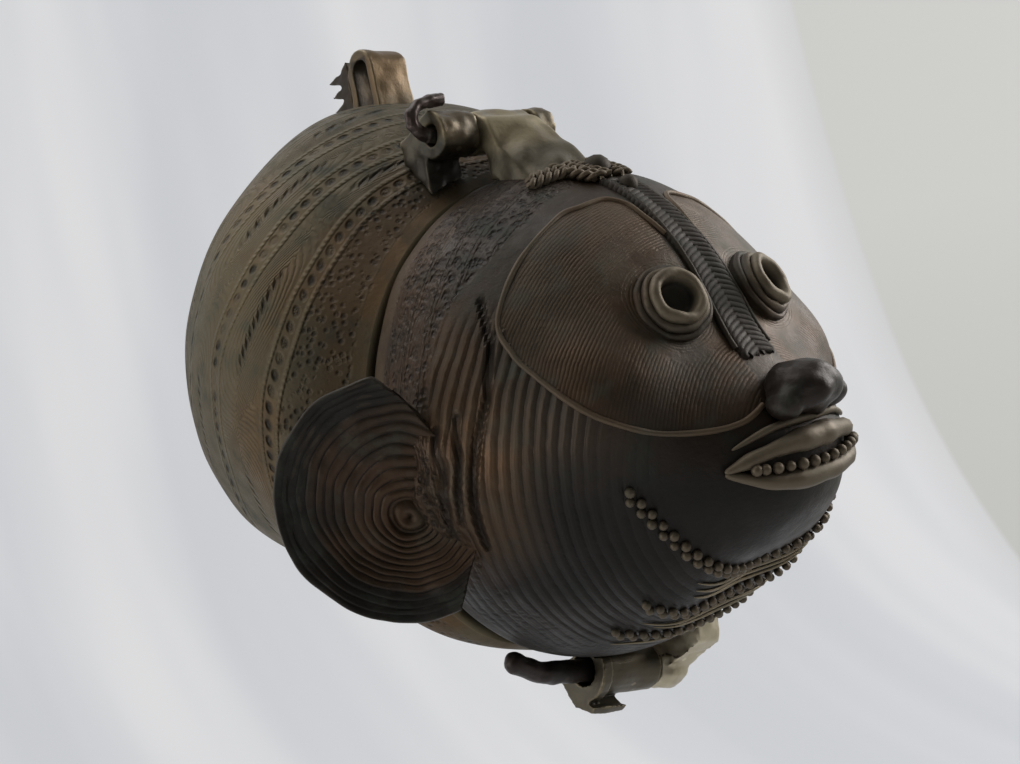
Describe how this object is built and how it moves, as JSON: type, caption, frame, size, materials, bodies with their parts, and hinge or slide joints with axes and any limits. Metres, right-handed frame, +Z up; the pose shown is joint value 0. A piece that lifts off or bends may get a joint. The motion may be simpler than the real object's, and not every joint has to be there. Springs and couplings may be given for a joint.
{
  "type": "bronze box",
  "caption": "Hollow cast bronze box shaped as a stylised head: deep globular bowl with a hanging loop, hinged face lid with coiled disc ears and ring eyes, and a sliding clasp pin.",
  "frame": {"origin": "bearing point of the hanging loop: the middle of the inside of its crown, where a hook carries the box", "axes": "+Z up through the loop, the face and the lid look along -Y, +X is the head's own left, and the hinge pin lies along X"},
  "size_m": [0.135, 0.1588, 0.1464],
  "materials": {
    "bowl_bronze": "cast bronze with a dark olive-brown patina, threads and pits standing out, satin",
    "face_bronze": "cast bronze with a near-black brown patina, worn brighter on raised forms, satin",
    "ear_bronze": "cast coiled wire with a warm brown patina, satin",
    "rubbed_bronze": "handled cast bronze, patina rubbed through to yellow metal on edges",
    "pin_metal": "forged rod, dark reddish brown, worn smooth"
  },
  "bodies": {
    "bowl": {"bowl_shell": "bowl_bronze", "hanging_loop": "rubbed_bronze", "loop_frill": "bowl_bronze", "clasp_barrel": "rubbed_bronze", "bowl_hinge_lug_right": "rubbed_bronze", "bowl_hinge_lug_left": "rubbed_bronze", "hinge_pin": "pin_metal"},
    "lid": {"lid_shell": "face_bronze", "lid_hinge_strap": "rubbed_bronze", "lid_clasp_lug": "rubbed_bronze", "ear_right": "ear_bronze", "ear_left": "ear_bronze", "eye_right": "face_bronze", "eye_left": "face_bronze", "nose": "face_bronze", "lips": "face_bronze", "forehead_ridge": "face_bronze", "jaw_beads": "face_bronze", "beard_beads": "face_bronze", "throat_beads": "face_bronze"},
    "pin": {"clasp_pin": "pin_metal"}
  },
  "joints": [
    {"name": "lid_hinge", "type": "hinge", "parent": "bowl", "child": "lid", "pos_m": [0, -0.041, -0.0262], "axis": [-1, 0, 0], "range_deg": [0, 110]},
    {"name": "clasp_slide", "type": "slide", "parent": "bowl", "child": "pin", "axis": [0.9659, 0, -0.2588], "range_m": [0, 0.01]}
  ]
}
